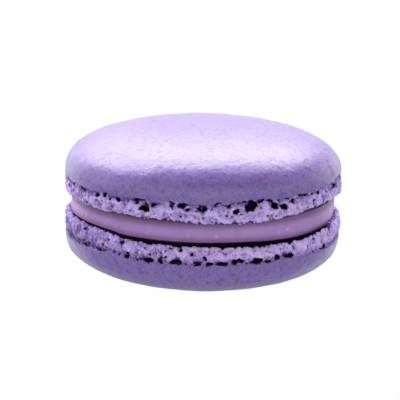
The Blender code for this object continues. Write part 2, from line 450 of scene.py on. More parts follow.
def faceOutward(piece):
    # the turned grid comes out one way or the other, so the signed volume decides
    mesh = piece.data
    mesh.calc_loop_triangles()
    volume = 0.0
    for triangle in mesh.loop_triangles:
        a, b, c = (mesh.vertices[i].co for i in triangle.vertices)
        volume += a.dot(b.cross(c))
    if volume < 0:
        mesh.flip_normals()
    mesh.shade_smooth()


# the cream

cream = {
    "radius": 21.45 * mm,
    "low": lowerInner - 0.55 * mm,
    "high": upperInner + 0.1 * mm,
    "bottomRound": (0.4 * mm, 0.5 * mm),
    "topRound": (1.1 * mm, 0.9 * mm),
    "bulge": 0.10 * mm,
    "topSteps": 14,
    "sideSteps": 16,
    "bottomSteps": 18,
    "columns": 420,
    "waves": ((1, 0.42 * mm, 0.0), (2, 0.15 * mm, 3.14), (3, 0.06 * mm, 1.2), (8, 0.05 * mm, 3.9)),
    "raggedHeight": 0.12 * mm,
    "raggedSize": 3.0 * mm,
    "swellHeight": 0.16 * mm,
    "swellSize": 2.8 * mm,
    "wrinkleHeight": 0.03 * mm,
    "wrinkleSize": 1.4 * mm,
}


def creamOutline():
    low, high, radius = cream["low"], cream["high"], cream["radius"]
    deep, tall = cream["bottomRound"]
    topDeep, topTall = cream["topRound"]
    side = []
    plainTop, plainBottom = high - topTall, low + tall
    for step in range(cream["topSteps"] + 1):
        turn = math.pi / 2 * (1 - step / cream["topSteps"])
        side.append((radius - topDeep + topDeep * math.cos(turn), plainTop + topTall * math.sin(turn)))
    for step in range(1, cream["sideSteps"]):
        share = step / cream["sideSteps"]
        swell = cream["bulge"] * math.sin(math.pi * share)
        side.append((radius + swell, plainTop + (plainBottom - plainTop) * share))
    for step in range(cream["bottomSteps"] + 1):
        turn = math.pi / 2 * step / cream["bottomSteps"]
        side.append((radius - deep + deep * math.cos(turn), low + tall - tall * math.sin(turn)))
    inward = radius - deep
    path = [(0.0, high), (inward / 2, high)] + side
    path += [(inward - 1.2 * mm, low), (inward / 2, low), (0.0, low)]
    rows = []
    for reach, level in path:
        share = min(1.0, max(0.0, (reach - inward) / deep))
        rows.append((reach, level, share, share, share))
    return rows


def makeCream(material):
    tree = turnedTree("creamForm", cream["waves"], 1)
    values = inputValues(cream, turnedSizes + turnedWholes, material)
    piece = makePiece("cream", tree, values, outlineMesh("creamOutline", creamOutline()))
    faceOutward(piece)
    placePiece(piece, "mauve_cream", "filling")


# the feet: a rounded ring of crumb, worked out as a volume so that bubbles can undercut it

feet = {
    "topFoot": {
        "node": "top_shell",
        "side": "top",
        "inner": upperInner,
        "way": 1,
        "seed": 5,
        # its edge by the cream: (degrees to the right of the middle, millimetres toward the crust)
        "lipLevels": (
            (-180, -0.10), (-90, -0.13), (-60, 0.0), (-43, 0.13), (-25, 0.26), (-10, -0.07),
            (5, -0.20), (17, -0.34), (28, -0.05), (37, 0.08), (51, 0.45), (62, 0.50), (77, 0.35),
            (90, 0.10), (130, 0.0), (180, -0.10),
        ),
        "grooveDepth": 0.3 * mm,
        "grooveShares": ((-180, 1.0), (180, 1.0)),
        "paintedShadeRound": ((-180, 0.0), (-90, 0.06), (-50, 0.06), (-25, 0.0), (180, 0.0)),
        "lumpHeight": 1.6 * mm,
        "scallopHeight": 0.65 * mm,
    },
    "bottomFoot": {
        "node": "bottom_shell",
        "side": "bottom",
        "inner": lowerInner,
        "way": -1,
        "seed": 11,
        "lipLevels": (
            (-180, 0.20), (-90, -0.05), (-72, -0.12), (-56, -0.15), (-48, -0.08), (-40, 0.10),
            (-32, 0.25), (-16, 0.42), (0, 0.45), (16, 0.54), (32, 0.56), (40, 0.60), (48, 0.42),
            (56, 0.14), (64, 0.05), (90, 0.05), (130, 0.20), (180, 0.20),
        ),
        "grooveDepth": 1.5 * mm,
        # and how much of the groove, and of the crevice's painted shade, is left, round the same way
        "grooveShares": (
            (-180, 0.7), (-90, 0.4), (-68, 0.4), (-56, 1.0), (0, 1.0), (58, 1.0), (70, 0.15),
            (90, 0.15), (130, 0.7), (180, 0.7),
        ),
        # and how much painted shade darkens the crumb there
        "paintedShadeRound": ((-180, 0.0), (-90, 0.19), (-60, 0.20), (-38, 0.08), (-20, 0.0), (180, 0.0)),
        "lumpHeight": 1.35 * mm,
        "scallopHeight": 0.35 * mm,
    },
}

footFinish = {
    "radius": 22.49 * mm,
    "radiusWaves": ((1, 0.10 * mm, 0.8),),
    "depth": 3.3 * mm,
    "corner": 0.8 * mm,
    "underSkin": 0.8 * mm,        # how far the crumb goes on behind the crust's edge
    "recess": 0.30 * mm,          # how far the foot draws back just under the crust
    "recessZone": (1.3 * mm, 0.2 * mm),    # from this far below the crust, and fully from here up
    "shownDepth": (1.3 * mm, 1.9 * mm),    # crumb and holes fade out this far in from the rim
    "grooveIn": 0.6 * mm,         # the groove beside the cream lies this far in from the cream's side
    "grooveWidth": 0.95 * mm,
    "bandRadius": 22.47 * mm,     # the crust's lower edge, which the skin lies on
    "bandHeight": 0.65 * mm,
    "bandRagged": 1.6 * mm,
    "bandDepth": 1.6 * mm,
    "bandCorner": 0.12 * mm,
    "fraySize": 0.8 * mm,
    "lumpSize": 1.3 * mm,
    "granuleSize": 0.5 * mm,
    "granuleHeight": 0.26 * mm,
    "grainSize": 0.28 * mm,
    "grainHeight": 0.42 * mm,
    "cavitySize": 1.15 * mm,
    "cavityDepth": 4.2 * mm,
    "cavityReach": 1.7 * mm,      # how far below the crust the cavities go
    "cavityLimit": 0.86,          # noise above this is a cavity
    "cavityEase": 0.27,           # and above this much less just under the crust
    "poreSize": 0.75 * mm,
    "poreRadius": 0.205 * mm,
    "poreSpread": (0.3, 1.3),     # a pore's radius is this share of it, and up to so much more
    "poreShare": 0.6,             # this share of the cells has a pore
    "stirSize": 0.7 * mm,         # the holes' edges are stirred by lumps of this size, this far
    "stirReach": 1.2 * mm,
    "scallopSize": 1.5 * mm,
    "proudest": 0.12 * mm,
    "voxel": 0.13 * mm,
    "quickVoxel": 0.19 * mm,
    "shadeReach": 0.46 * mm,      # as near as this to the cream the crumb is painted in the crevice's shade
    "pitRim": 0.12 * mm,          # holes take painted shade from this far down, and are painted darkest here
    "pitDark": 0.95 * mm,
    "standingZone": (-1.1 * mm, 0.15 * mm),    # crumb colours run from painted shade this deep to painted light this far out
    "meshReach": 23.2 * mm,
    "meshLevels": (-0.6 * mm, 5.4 * mm),
    "mostTriangles": 197000,
}

# the settings that are inputs of a foot's tree, and those of its own that each foot has
ringSizes = (
    "radius", "depth", "corner", "recess", "grooveIn", "grooveWidth", "bandRadius", "bandHeight",
    "bandRagged", "lumpSize", "granuleSize", "granuleHeight", "grainSize", "grainHeight", "cavitySize",
    "cavityDepth", "cavityReach", "poreSize", "poreRadius", "scallopSize", "proudest", "shadeReach",
    "pitRim", "pitDark", "voxel",
)
ownSizes = ("grooveDepth", "lumpHeight", "scallopHeight")

# burst bubbles that the near side shows: degrees to the right of the middle, height above the
# filling, half width, half height and depth in millimetres
nearBubbles = {
    "top": (
        (-76, 2.5, 0.5, 0.3, 0.5), (-56, 2.3, 0.3, 0.2, 0.5), (-47, 2.3, 0.4, 0.25, 0.8),
        (-42, 2.6, 0.5, 0.35, 1.2), (-39, 2.2, 0.25, 0.2, 0.6), (-35, 2.4, 0.5, 0.25, 0.9),
        (-27, 2.9, 0.5, 0.35, 1.2), (-23, 1.7, 0.9, 0.45, 1.5), (-19, 2.3, 0.3, 0.2, 0.5),
        (-12, 2.8, 0.4, 0.3, 0.7), (-8, 2.5, 0.7, 0.4, 1.1), (-6, 1.9, 0.5, 0.3, 0.6),
        (0, 2.1, 0.7, 0.5, 1.0), (10, 2.6, 0.5, 0.3, 0.6), (10, 1.8, 0.2, 0.2, 0.5),
        (13, 1.8, 0.6, 0.45, 0.8), (19, 2.5, 1.1, 0.8, 1.7), (29, 2.2, 0.6, 0.45, 1.3),
        (33, 1.9, 0.7, 0.5, 1.5), (37, 2.6, 0.35, 0.45, 1.0), (45, 3.0, 0.4, 0.3, 1.1),
        (50, 1.9, 0.6, 0.3, 0.5), (53, 2.8, 0.45, 0.3, 0.9), (68, 2.8, 0.9, 0.4, 1.1),
    ),
    "bottom": (
        (-68, 2.7, 0.5, 0.15, 0.5), (-62, 1.7, 0.3, 0.35, 0.5), (-33, 0.9, 0.5, 0.2, 0.5),
        (-31, 3.1, 0.35, 0.3, 0.8), (-26, 3.2, 0.3, 0.2, 0.8), (-21, 3.0, 0.9, 0.4, 1.2),
        (-16, 3.0, 0.45, 0.35, 1.2), (-10, 2.9, 0.9, 0.5, 1.1), (-8, 0.8, 0.3, 0.25, 0.9),
        (-4, 1.5, 0.35, 0.35, 0.6), (-2, 3.3, 0.6, 0.25, 0.9), (1, 2.0, 0.35, 0.4, 0.5),
        (3, 3.0, 0.6, 0.35, 1.3), (8, 3.0, 0.9, 0.4, 1.5), (14, 2.7, 1.0, 0.35, 1.3),
        (22, 2.9, 0.9, 0.45, 1.3), (27, 3.2, 0.6, 0.25, 1.1), (31, 2.9, 0.6, 0.6, 1.3),
        (37, 2.9, 0.9, 0.45, 1.4), (38, 0.8, 0.8, 0.2, 0.4), (50, 1.0, 0.4, 0.3, 0.5),
        (59, 3.0, 0.5, 0.3, 0.9),
    ),
}
nearSector = 80     # degrees to each side in which only those bubbles are placed

# the other bubbles are drawn at random: a row under the crust, and smaller ones over the foot
bubbles = {
    "rows": (
        {
            "count": 46,
            "radii": (0.5 * mm, 1.05 * mm),
            "depths": (0.6 * mm, 1.5 * mm),
            "levels": (footHeight - 0.75 * mm, footHeight - 0.1 * mm),
        },
        {
            "count": 70,
            "radii": (0.45 * mm, 0.8 * mm),
            "depths": (0.3 * mm, 0.7 * mm),
            "levels": (0.5 * mm, footHeight - 0.9 * mm),
        },
    ),
    "jitter": 0.35,               # of the space between two bubbles
    "flatness": (0.85, 0.45),     # half width and half height for each unit of radius
    "nearDeeper": 1.4,            # the near side's bubbles go this many times as deep as listed
}


def placeBubbles(foot):
    # each as (angle from +X, height above the filling, half width, half height, depth)
    holes = []
    for degrees, level, wide, tall, deep in nearBubbles[foot["side"]]:
        deep *= bubbles["nearDeeper"]
        holes.append((math.radians(degrees - 90), level * mm, wide * mm, tall * mm, deep * mm))
    draw = random.Random(foot["seed"])
    jitter = bubbles["jitter"]
    for row in bubbles["rows"]:
        for index in range(row["count"]):
            degrees = 360 * (index + draw.uniform(-jitter, jitter)) / row["count"]
            level = draw.uniform(*row["levels"])
            radius = draw.uniform(*row["radii"])
            deep = draw.uniform(*row["depths"])
            if abs((degrees + 270) % 360 - 180) > nearSector:
                wide, tall = (radius * share for share in bubbles["flatness"])
                holes.append((math.radians(degrees), level, wide, tall, deep))
    return holes


def bubbleMesh(foot):
    # one vertex at each bubble, with its half width, half height and depth
    spots, sizes = [], []
    rim = footFinish["radius"]
    for angle, level, wide, tall, deep in placeBubbles(foot):
        height = foot["inner"] + foot["way"] * level
        spots.append((rim * math.cos(angle), rim * math.sin(angle), height))
        sizes += [wide, tall, deep]
    mesh = bpy.data.meshes.new("bubbles")
    mesh.from_pydata(spots, [], [])
    attribute = mesh.attributes.new("bubbleSize", "FLOAT_VECTOR", "POINT")
    attribute.data.foreach_set("vector", sizes)
    return mesh


def ringDistance(tree, out, up, edge, depth, bottom, top, corner):
    # distance to a ring with a rounded rectangular section, below zero inside it
    halfDepth = times(tree, depth, 0.5)
    halfTall = times(tree, minus(tree, top, bottom), 0.5)
    middle = times(tree, plus(tree, top, bottom), 0.5)
    across = calc(tree, "ABSOLUTE", minus(tree, out, minus(tree, edge, halfDepth)))
    along = calc(tree, "ABSOLUTE", minus(tree, up, middle))
    across = minus(tree, across, minus(tree, halfDepth, corner))
    along = minus(tree, along, minus(tree, halfTall, corner))
    clippedAcross = calc(tree, "MAXIMUM", across, 0.0)
    clippedAlong = calc(tree, "MAXIMUM", along, 0.0)
    outside = hypotenuse(tree, clippedAcross, clippedAlong)
    inside = calc(tree, "MINIMUM", calc(tree, "MAXIMUM", across, along), 0.0)
    return minus(tree, plus(tree, outside, inside), corner)


def bubbleDistance(tree, holes, place):
    # how deep a place is inside the nearest burst bubble, above zero inside it
    inputs = {"Geometry": holes, "Sample Position": place}
    closest = addNode(tree, "GeometryNodeSampleNearest", inputs).outputs[0]
    centre, size = (
        sampleAt(tree, holes, closest, field, "FLOAT_VECTOR")
        for field in (ownPlace(tree), readAttribute(tree, "bubbleSize", "FLOAT_VECTOR"))
    )
    wide, tall, deep = splitVector(tree, size)
    centreX, centreY, _ = splitVector(tree, centre)
    awayX, awayY, awayZ = splitVector(tree, calcVector(tree, "SUBTRACT", place, centre))
    radial = calc(tree, "MULTIPLY_ADD", awayX, centreX, times(tree, awayY, centreY))
    crossed = times(tree, awayX, centreY)
    sideways = minus(tree, times(tree, awayY, centreX), crossed)
    rim = footFinish["radius"]
    scaled = joinVector(
        tree,
        over(tree, sideways, times(tree, wide, rim)),
        over(tree, awayZ, tall),
        over(tree, radial, times(tree, deep, rim)),
    )
    return times(tree, minus(tree, 1.0, calcVector(tree, "LENGTH", scaled)), tall)


def footTree(name, foot):
    tree, given, made = newTree(name, ("innerLevel",) + ringSizes + ownSizes)
    here = ownPlace(tree)
    x, y, z = splitVector(tree, here)
    angle = calc(tree, "ARCTAN2", y, x)
    out = hypotenuse(tree, x, y)
    up = times(tree, minus(tree, z, given["Inner Level"]), float(foot["way"]))

    # the ring follows the crust's skirt at its top, and its own ruffle all the way
    fromSkirt = calc(tree, "ABSOLUTE", minus(tree, up, footHeight))
    skirtShare = minus(tree, 1.0, over(tree, fromSkirt, footHeight))
    skirtShare = calc(tree, "MAXIMUM", skirtShare, 0.0)
    skirt = waveSum(tree, angle, skirtWaves[foot["side"]])
    up = minus(tree, up, times(tree, skirt, skirtShare))
    ruffle = plus(tree, given["Radius"], waveSum(tree, angle, ruffleWaves[foot["side"]]))
    ruffle = plus(tree, ruffle, waveSum(tree, angle, footFinish["radiusWaves"]))
    recessStart, recessFull = (footHeight - below for below in footFinish["recessZone"])
    drawnBack = remap(tree, up, recessStart, recessFull, 0.0, given["Recess"], smooth=True)
    edge = minus(tree, ruffle, drawnBack)
    onRim = placeRound(tree, angle, shellRadius, 0.0)
    scallop = evenNoise(tree, onRim, given["Scallop Size"], 3.0, 0.6)
    lip = levelRound(tree, x, y, foot["lipLevels"])
    bottom = calc(tree, "MULTIPLY_ADD", scallop, given["Scallop Height"], lip)
    top = footHeight + footFinish["underSkin"]
    distance = ringDistance(tree, out, up, edge, given["Depth"], bottom, top, given["Corner"])

    # the groove beside the cream follows the cream's side
    creamSide = plus(tree, cream["radius"], waveSum(tree, angle, cream["waves"]))
    fromCream = minus(tree, out, creamSide)
    grooveAcross = plus(tree, fromCream, given["Groove In"])
    grooveAcross = over(tree, grooveAcross, given["Groove Width"])
    grooveShare = over(tree, levelRound(tree, x, y, foot["grooveShares"]), mm)
    grooveDepth = times(tree, given["Groove Depth"], grooveShare)
    grooveAlong = over(tree, up, grooveDepth)
    groove = minus(tree, 1.0, hypotenuse(tree, grooveAcross, grooveAlong))
    distance = calc(tree, "MAXIMUM", distance, times(tree, groove, grooveDepth))

    # crumb: slow lumps, rounded granules and fine grain, on the side that shows
    fromRim = minus(tree, given["Radius"], out)
    shown = remap(tree, fromRim, *footFinish["shownDepth"], 1.0, 0.0)
    lumps = evenNoise(tree, here, given["Lump Size"], 3.0, 0.68)
    granule = minus(tree, 0.45, cellsAt(tree, here, given["Granule Size"])["Distance"])
    grain = evenNoise(tree, here, given["Grain Size"], 1.0)
    raised = times(tree, lumps, given["Lump Height"])
    raised = calc(tree, "MULTIPLY_ADD", granule, given["Granule Height"], raised)
    raised = calc(tree, "MULTIPLY_ADD", grain, given["Grain Height"], raised)
    raised = calc(tree, "SMOOTH_MIN", raised, given["Proudest"], 0.12 * mm)
    raised = times(tree, raised, shown)
    distance = minus(tree, distance, raised)

    # pores: a small bubble at the middle of some cells
    stirred = stirPlace(tree, here, footFinish["stirSize"], 3.0, footFinish["stirReach"])
    poreCells = cellsAt(tree, stirred, given["Pore Size"])
    pick = splitVector(tree, poreCells["Color"])
    least, more = footFinish["poreSpread"]
    spread = calc(tree, "MULTIPLY_ADD", pick[0], more, least)
    kept = calc(tree, "LESS_THAN", pick[1], footFinish["poreShare"])
    poreRadius = times(tree, given["Pore Radius"], spread)
    poreRadius = times(tree, poreRadius, kept)
    fromPore = times(tree, poreCells["Distance"], given["Pore Size"])
    pore = minus(tree, poreRadius, fromPore)
    overSkin = calc(tree, "GREATER_THAN", up, footHeight)
    hidden = calc(tree, "MAXIMUM", minus(tree, 1.0, shown), overSkin)
    pore = minus(tree, pore, times(tree, hidden, 1.0 * mm))

    # the crust's lower edge: a smooth band over the crumb, ragged where it meets it
    fray = evenNoise(tree, here, footFinish["fraySize"], 4.0, 0.7)
    bandBottom = calc(tree, "MULTIPLY_ADD", fray, given["Band Ragged"], footHeight)
    bandTop = plus(tree, footHeight, given["Band Height"])
    bandDepth, bandCorner = footFinish["bandDepth"], footFinish["bandCorner"]
    band = ringDistance(tree, out, up, given["Band Radius"], bandDepth, bandBottom, bandTop, bandCorner)
    distance = calc(tree, "MINIMUM", distance, band)

    # cavities below the crust, and the burst bubbles
    below = minus(tree, footHeight + 0.15 * mm, up)
    inReach = remap(tree, below, 0.0, given["Cavity Reach"], 1.0, 0.0)
    lumpy = noiseAt(tree, stirred, given["Cavity Size"], 1.0)
    hollow = minus(tree, lumpy, footFinish["cavityLimit"])
    hollow = calc(tree, "MULTIPLY_ADD", inReach, footFinish["cavityEase"], hollow)
    hollow = times(tree, hollow, given["Cavity Depth"])
    crumbSide = calc(tree, "GREATER_THAN", below, 0.0)
    skinSide = minus(tree, 1.0, crumbSide)
    hollow = times(tree, hollow, crumbSide)
    hollow = minus(tree, hollow, times(tree, skinSide, 1.0 * mm))
    unseen = minus(tree, 1.0, shown)
    hollow = minus(tree, hollow, times(tree, unseen, 2.0 * mm))
    cut = calc(tree, "MAXIMUM", hollow, bubbleDistance(tree, given["Geometry"], stirred))
    cut = calc(tree, "MAXIMUM", cut, pore)
    distance = calc(tree, "MAXIMUM", distance, cut)

    # the volume between the ring's lowest and highest level, meshed where the distance is zero
    blur = times(tree, given["Voxel"], 4.0)
    density = minus(tree, 0.5, over(tree, distance, blur))
    density = addNode(tree, "ShaderNodeClamp", {"Value": density}).outputs[0]
    reach = footFinish["meshReach"]
    levels = sorted(foot["inner"] + foot["way"] * level for level in footFinish["meshLevels"])
    low, high = (-reach, -reach, levels[0]), (reach, reach, levels[1])
    cube = addNode(tree, "GeometryNodeVolumeCube", {"Density": density, "Min": low, "Max": high})
    for axis, span in (("X", 2 * reach), ("Y", 2 * reach), ("Z", levels[1] - levels[0])):
        plug(tree, over(tree, span, given["Voxel"]), cube.inputs["Resolution " + axis])
    skin = addNode(tree, "GeometryNodeVolumeToMesh", {0: cube.outputs[0], "Threshold": 0.5})

    # for the colours: how far each point belongs to the crust's edge, and how far out it stands; deep
    # crumb is painted in shade and the tips that stand out most in painted light
    share = remap(tree, minus(tree, up, bandBottom), -0.30 * mm, 0.0, 0.0, 1.0)
    underBand = minus(tree, given["Band Radius"], 0.25 * mm)
    onSkin = remap(tree, out, given["Band Radius"], underBand, 1.0, 0.0)
    whole = ringDistance(tree, out, up, ruffle, given["Depth"], bottom, top, given["Corner"])
    standing = remap(tree, whole, *footFinish["standingZone"], 0.0, 1.0)
    # painted shadow of the crevice: crumb near the cream and near the foot's edge by the cream is
    # darkened
    unlit = remap(tree, fromCream, 0.0, given["Shade Reach"], 1.0, 0.0)
    crevice = remap(tree, minus(tree, up, bottom), 1.6 * mm, 2.2 * mm, 1.0, 0.0)
    unlit = times(tree, unlit, grooveShare)
    standing = minus(tree, standing, times(tree, unlit, crevice))
    # painted shade in the holes, darker the deeper they go
    inHole = remap(tree, cut, -0.12 * mm, -0.02 * mm, 0.0, 1.0)
    sunk = remap(tree, times(tree, whole, -1.0), given["Pit Rim"], given["Pit Dark"], 0.0, 0.8)
    standing = minus(tree, standing, times(tree, inHole, sunk))
    # painted shade over parts of each foot, set by the angle round it
    roundShade = over(tree, levelRound(tree, x, y, foot["paintedShadeRound"]), mm)
    standing = minus(tree, standing, roundShade)
    geometry = skin.outputs[0]
    crustShare = times(tree, share, onSkin)
    for label, value in (("crustShare", crustShare), ("standing", standing)):
        geometry = storeAttribute(tree, geometry, label, value)
    finishTree(tree, geometry, given["Material"], made)
    return tree


def makeFoot(name, material):
    foot = feet[name]
    values = inputValues({**footFinish, **foot}, ringSizes + ownSizes, material)
    values["Inner Level"] = foot["inner"]
    values["Voxel"] = footFinish["voxel"]
    piece = makePiece(name, footTree(name + "Form", foot), values, bubbleMesh(foot))
    thinOut(piece, footFinish["mostTriangles"])
    placePiece(piece, "lavender_shell", foot["node"])


# almond specks and loose crumbs, lying on the feet

# specks that the near side shows: degrees to the right of the middle, height above the filling and
# size in millimetres
nearSpecks = {
    "top": (
        (27, 0.6, 0.42), (-3, 0.9, 0.32), (-21, 0.5, 0.30), (-58, 2.0, 0.34), (46, 1.0, 0.26),
        (8, 1.9, 0.22),
    ),
    "bottom": ((-3, 1.2, 0.34), (-15, 2.6, 0.30), (25, 2.7, 0.30), (-40, 1.3, 0.24), (50, 1.6, 0.24)),
}

litter = {
    "almondSpecks": {
        "seed": 3,
        "count": 26,
        "sizes": (0.14 * mm, 0.28 * mm),
        "levels": (0.3 * mm, 2.8 * mm),
    },
    "looseCrumbs": {
        "seed": 8,
        "count": 150,
        "sizes": (0.12 * mm, 0.26 * mm),
        "levels": (0.0 * mm, 2.4 * mm),
    },
}
litterStart = 2 * mm          # the bits start this far outside the shells and go in to the foot
litterReach = 22.62 * mm      # no bit lies further out than this


def litterMesh(name):
    # one vertex for each bit, outside the foot it lies on, with its size
    bits = litter[name]
    spots = []
    if name == "almondSpecks":
        for side, inner, way in (("top", upperInner, 1), ("bottom", lowerInner, -1)):
            for degrees, level, size in nearSpecks[side]:
                spots.append((math.radians(degrees - 90), inner + way * level * mm, size * mm))
    draw = random.Random(bits["seed"])
    for _ in range(bits["count"]):
        inner, way = draw.choice(((upperInner, 1), (lowerInner, -1)))
        angle = draw.uniform(0, 2 * math.pi)
        spots.append((angle, inner + way * draw.uniform(*bits["levels"]), draw.uniform(*bits["sizes"])))
    start = shellRadius + litterStart
    mesh = bpy.data.meshes.new(name + "Spots")
    mesh.from_pydata([(start * math.cos(a), start * math.sin(a), z) for a, z, _ in spots], [], [])
    attribute = mesh.attributes.new("bitSize", "FLOAT", "POINT")
    attribute.data.foreach_set("value", [size for _, _, size in spots])
    return mesh


def litterTree(name):
    tree, given, made = newTree(name, ("reach",), ("seed",))
    ground = tree.nodes.new("GeometryNodeJoinGeometry")
    for footName in feet:
        lying = addNode(tree, "GeometryNodeObjectInfo", {"Object": bpy.data.objects[footName]})
        tree.links.new(lying.outputs["Geometry"], ground.inputs[0])
    here = ownPlace(tree)
    inward = calcVector(tree, "NORMALIZE", calcVector(tree, "MULTIPLY", here, (-1.0, -1.0, 0.0)))
    ray = addNode(tree, "GeometryNodeRaycast", {
        "Target Geometry": ground.outputs[0],
        "Ray Direction": inward,
        "Ray Length": 2 * litterStart,
    })
    missed = minus(tree, 1.0, ray.outputs["Is Hit"])
    inputs = {"Geometry": given["Geometry"], "Selection": missed}
    bits = addNode(tree, "GeometryNodeDeleteGeometry", inputs).outputs[0]
    x, y, z = splitVector(tree, ray.outputs["Hit Position"])
    share = over(tree, given["Reach"], hypotenuse(tree, x, y))
    share = calc(tree, "MINIMUM", share, 1.0)
    landed = joinVector(tree, times(tree, x, share), times(tree, y, share), z)
    bits = movePoints(tree, bits, "Position", landed)

    # one chipped bit, turned and sized anew at every spot
    ball = addNode(tree, "GeometryNodeMeshIcoSphere", {"Radius": 1.0, "Subdivisions": 3})
    flattened = calcVector(tree, "MULTIPLY", here, (1.1, 0.8, 0.6))
    rough = remap(tree, noiseAt(tree, here, 0.9, 2.0), 0.25, 0.75, 0.55, 1.3)
    chipped = calcVector(tree, "SCALE", flattened, scale=rough)
    chip = movePoints(tree, ball.outputs["Mesh"], "Position", chipped)
    inputs = {"Max": (6.283, 6.283, 6.283), "Seed": given["Seed"]}
    turn = addNode(tree, "FunctionNodeRandomValue", inputs, data_type="FLOAT_VECTOR")
    scatter = addNode(tree, "GeometryNodeInstanceOnPoints", {
        "Points": bits,
        "Instance": chip,
        "Rotation": turn.outputs[0],
        "Scale": readAttribute(tree, "bitSize"),
    })
    finishTree(tree, scatter.outputs[0], given["Material"], made)
    return tree


def makeLitter(name, material):
    values = {"Reach": litterReach, "Seed": litter[name]["seed"], "Material": material}
    piece = makePiece(name, litterTree(name + "Form"), values, litterMesh(name))
    piece.data.shade_smooth()
    placePiece(piece, "lavender_shell")


# materials: patterns read Object coordinates, in metres

def newMaterial(name):
    material = bpy.data.materials.new(name)
    material.use_nodes = True
    tree = material.node_tree
    shader = tree.nodes["Principled BSDF"]
    place = tree.nodes.new("ShaderNodeTexCoord").outputs["Object"]
    return material, tree, shader, place


def blendColours(tree, share, first, second):
    first, second = (
        colour if isinstance(colour, bpy.types.NodeSocket) else (*colour, 1.0)
        for colour in (first, second)
    )
    inputs = {0: share, 6: first, 7: second}
    return addNode(tree, "ShaderNodeMix", inputs, data_type="RGBA").outputs[2]


def rampThrough(tree, level, stops):
    # each stop is (position, colour)
    node = addNode(tree, "ShaderNodeValToRGB", {0: level})
    elements = node.color_ramp.elements
    while len(elements) < len(stops):
        elements.new(1.0)
    for element, (position, colour) in zip(elements, stops):
        element.position = position
        element.color = (*colour, 1.0)
    return node.outputs[0]


def addBump(tree, shader, height, distance):
    node = addNode(tree, "ShaderNodeBump", {"Distance": distance, "Height": height})
    tree.links.new(node.outputs[0], shader.inputs["Normal"])


crustLook = {
    "lavender": (0.248, 0.161, 0.478),
    "blue": (0.224, 0.159, 0.485),
    "rose": (0.258, 0.161, 0.455),
    "dark": (0.125, 0.080, 0.270),
    "cloudSize": 4.5 * mm,
    "mottleSize": 1.6 * mm,
    "grainSize": 0.32 * mm,
    "speckSize": 0.80 * mm,
    "satinSize": 0.9 * mm,
    "roughness": (0.32, 0.42),
    "bumpSize": 0.45 * mm,
    "bumpHeight": 0.05 * mm,
}


def crustColour(tree, place):
    # slow blue and rose clouds, under a fine dark speckle of two sizes
    cloud = remap(tree, noiseAt(tree, place, crustLook["cloudSize"], 3.0), 0.35, 0.65, 0.0, 1.0)
    mottle = remap(tree, noiseAt(tree, place, crustLook["mottleSize"], 2.0), 0.40, 0.65, 0.0, 0.8)
    grain = remap(tree, noiseAt(tree, place, crustLook["grainSize"], 1.0), 0.42, 0.70, 0.0, 0.5)
    speck = remap(tree, noiseAt(tree, place, crustLook["speckSize"], 3.0, 0.65), 0.52, 0.68, 0.0, 0.9)
    colour = blendColours(tree, cloud, crustLook["lavender"], crustLook["blue"])
    colour = blendColours(tree, mottle, colour, crustLook["rose"])
    colour = blendColours(tree, grain, colour, crustLook["dark"])
    return blendColours(tree, speck, colour, crustLook["dark"])


def crustMaterial():
    material, tree, shader, place = newMaterial("lavenderCrust")
    tree.links.new(crustColour(tree, place), shader.inputs["Base Color"])
    satin = noiseAt(tree, place, crustLook["satinSize"], 3.0, 0.6)
    plug(tree, remap(tree, satin, 0.3, 0.7, *crustLook["roughness"]), shader.inputs["Roughness"])
    pitted = noiseAt(tree, place, crustLook["bumpSize"], 3.0, 0.6)
    addBump(tree, shader, pitted, crustLook["bumpHeight"])
    return material


footLook = {
    # from the bottom of the holes to the tips that stand out most: painted shade deep down, painted
    # light on the tips
    "colours": (
        (0.00, (0.012, 0.007, 0.018)),
        (0.35, (0.030, 0.018, 0.060)),
        (0.60, (0.235, 0.145, 0.425)),
        (0.82, (0.480, 0.330, 0.770)),
        (1.00, (0.680, 0.510, 0.980)),
    ),
    "fleckSize": 0.60 * mm,
    "fleckShare": 0.85,
    "dustSize": 0.20 * mm,
    "dustShare": 0.30,
    "roughness": 0.7,
    "bumpSize": 0.22 * mm,
    "bumpHeight": 0.10 * mm,
}


def footMaterial():
    material, tree, shader, place = newMaterial("lavenderCrumb")
    standing, share = (
        addNode(tree, "ShaderNodeAttribute", {}, attribute_name=label).outputs["Fac"]
        for label in ("standing", "crustShare")
    )
    fleck = evenNoise(tree, place, footLook["fleckSize"], 3.0, 0.65)
    # the colour level: painted shade and painted light by how far the crumb stands out, with random
    # flecks and dust
    level = calc(tree, "MULTIPLY_ADD", fleck, footLook["fleckShare"], standing)
    dust = evenNoise(tree, place, footLook["dustSize"], 1.0)
    level = calc(tree, "MULTIPLY_ADD", dust, footLook["dustShare"], level)
    crumb = rampThrough(tree, level, footLook["colours"])
    colour = blendColours(tree, share, crumb, crustColour(tree, place))
    tree.links.new(colour, shader.inputs["Base Color"])
    gloss = remap(tree, standing, 0.0, 0.4, 0.0, 0.5)
    plug(tree, gloss, shader.inputs["Specular IOR Level"])
    shader.inputs["Roughness"].default_value = footLook["roughness"]
    rough = noiseAt(tree, place, footLook["bumpSize"], 3.0, 0.65)
    addBump(tree, shader, rough, footLook["bumpHeight"])
    return material


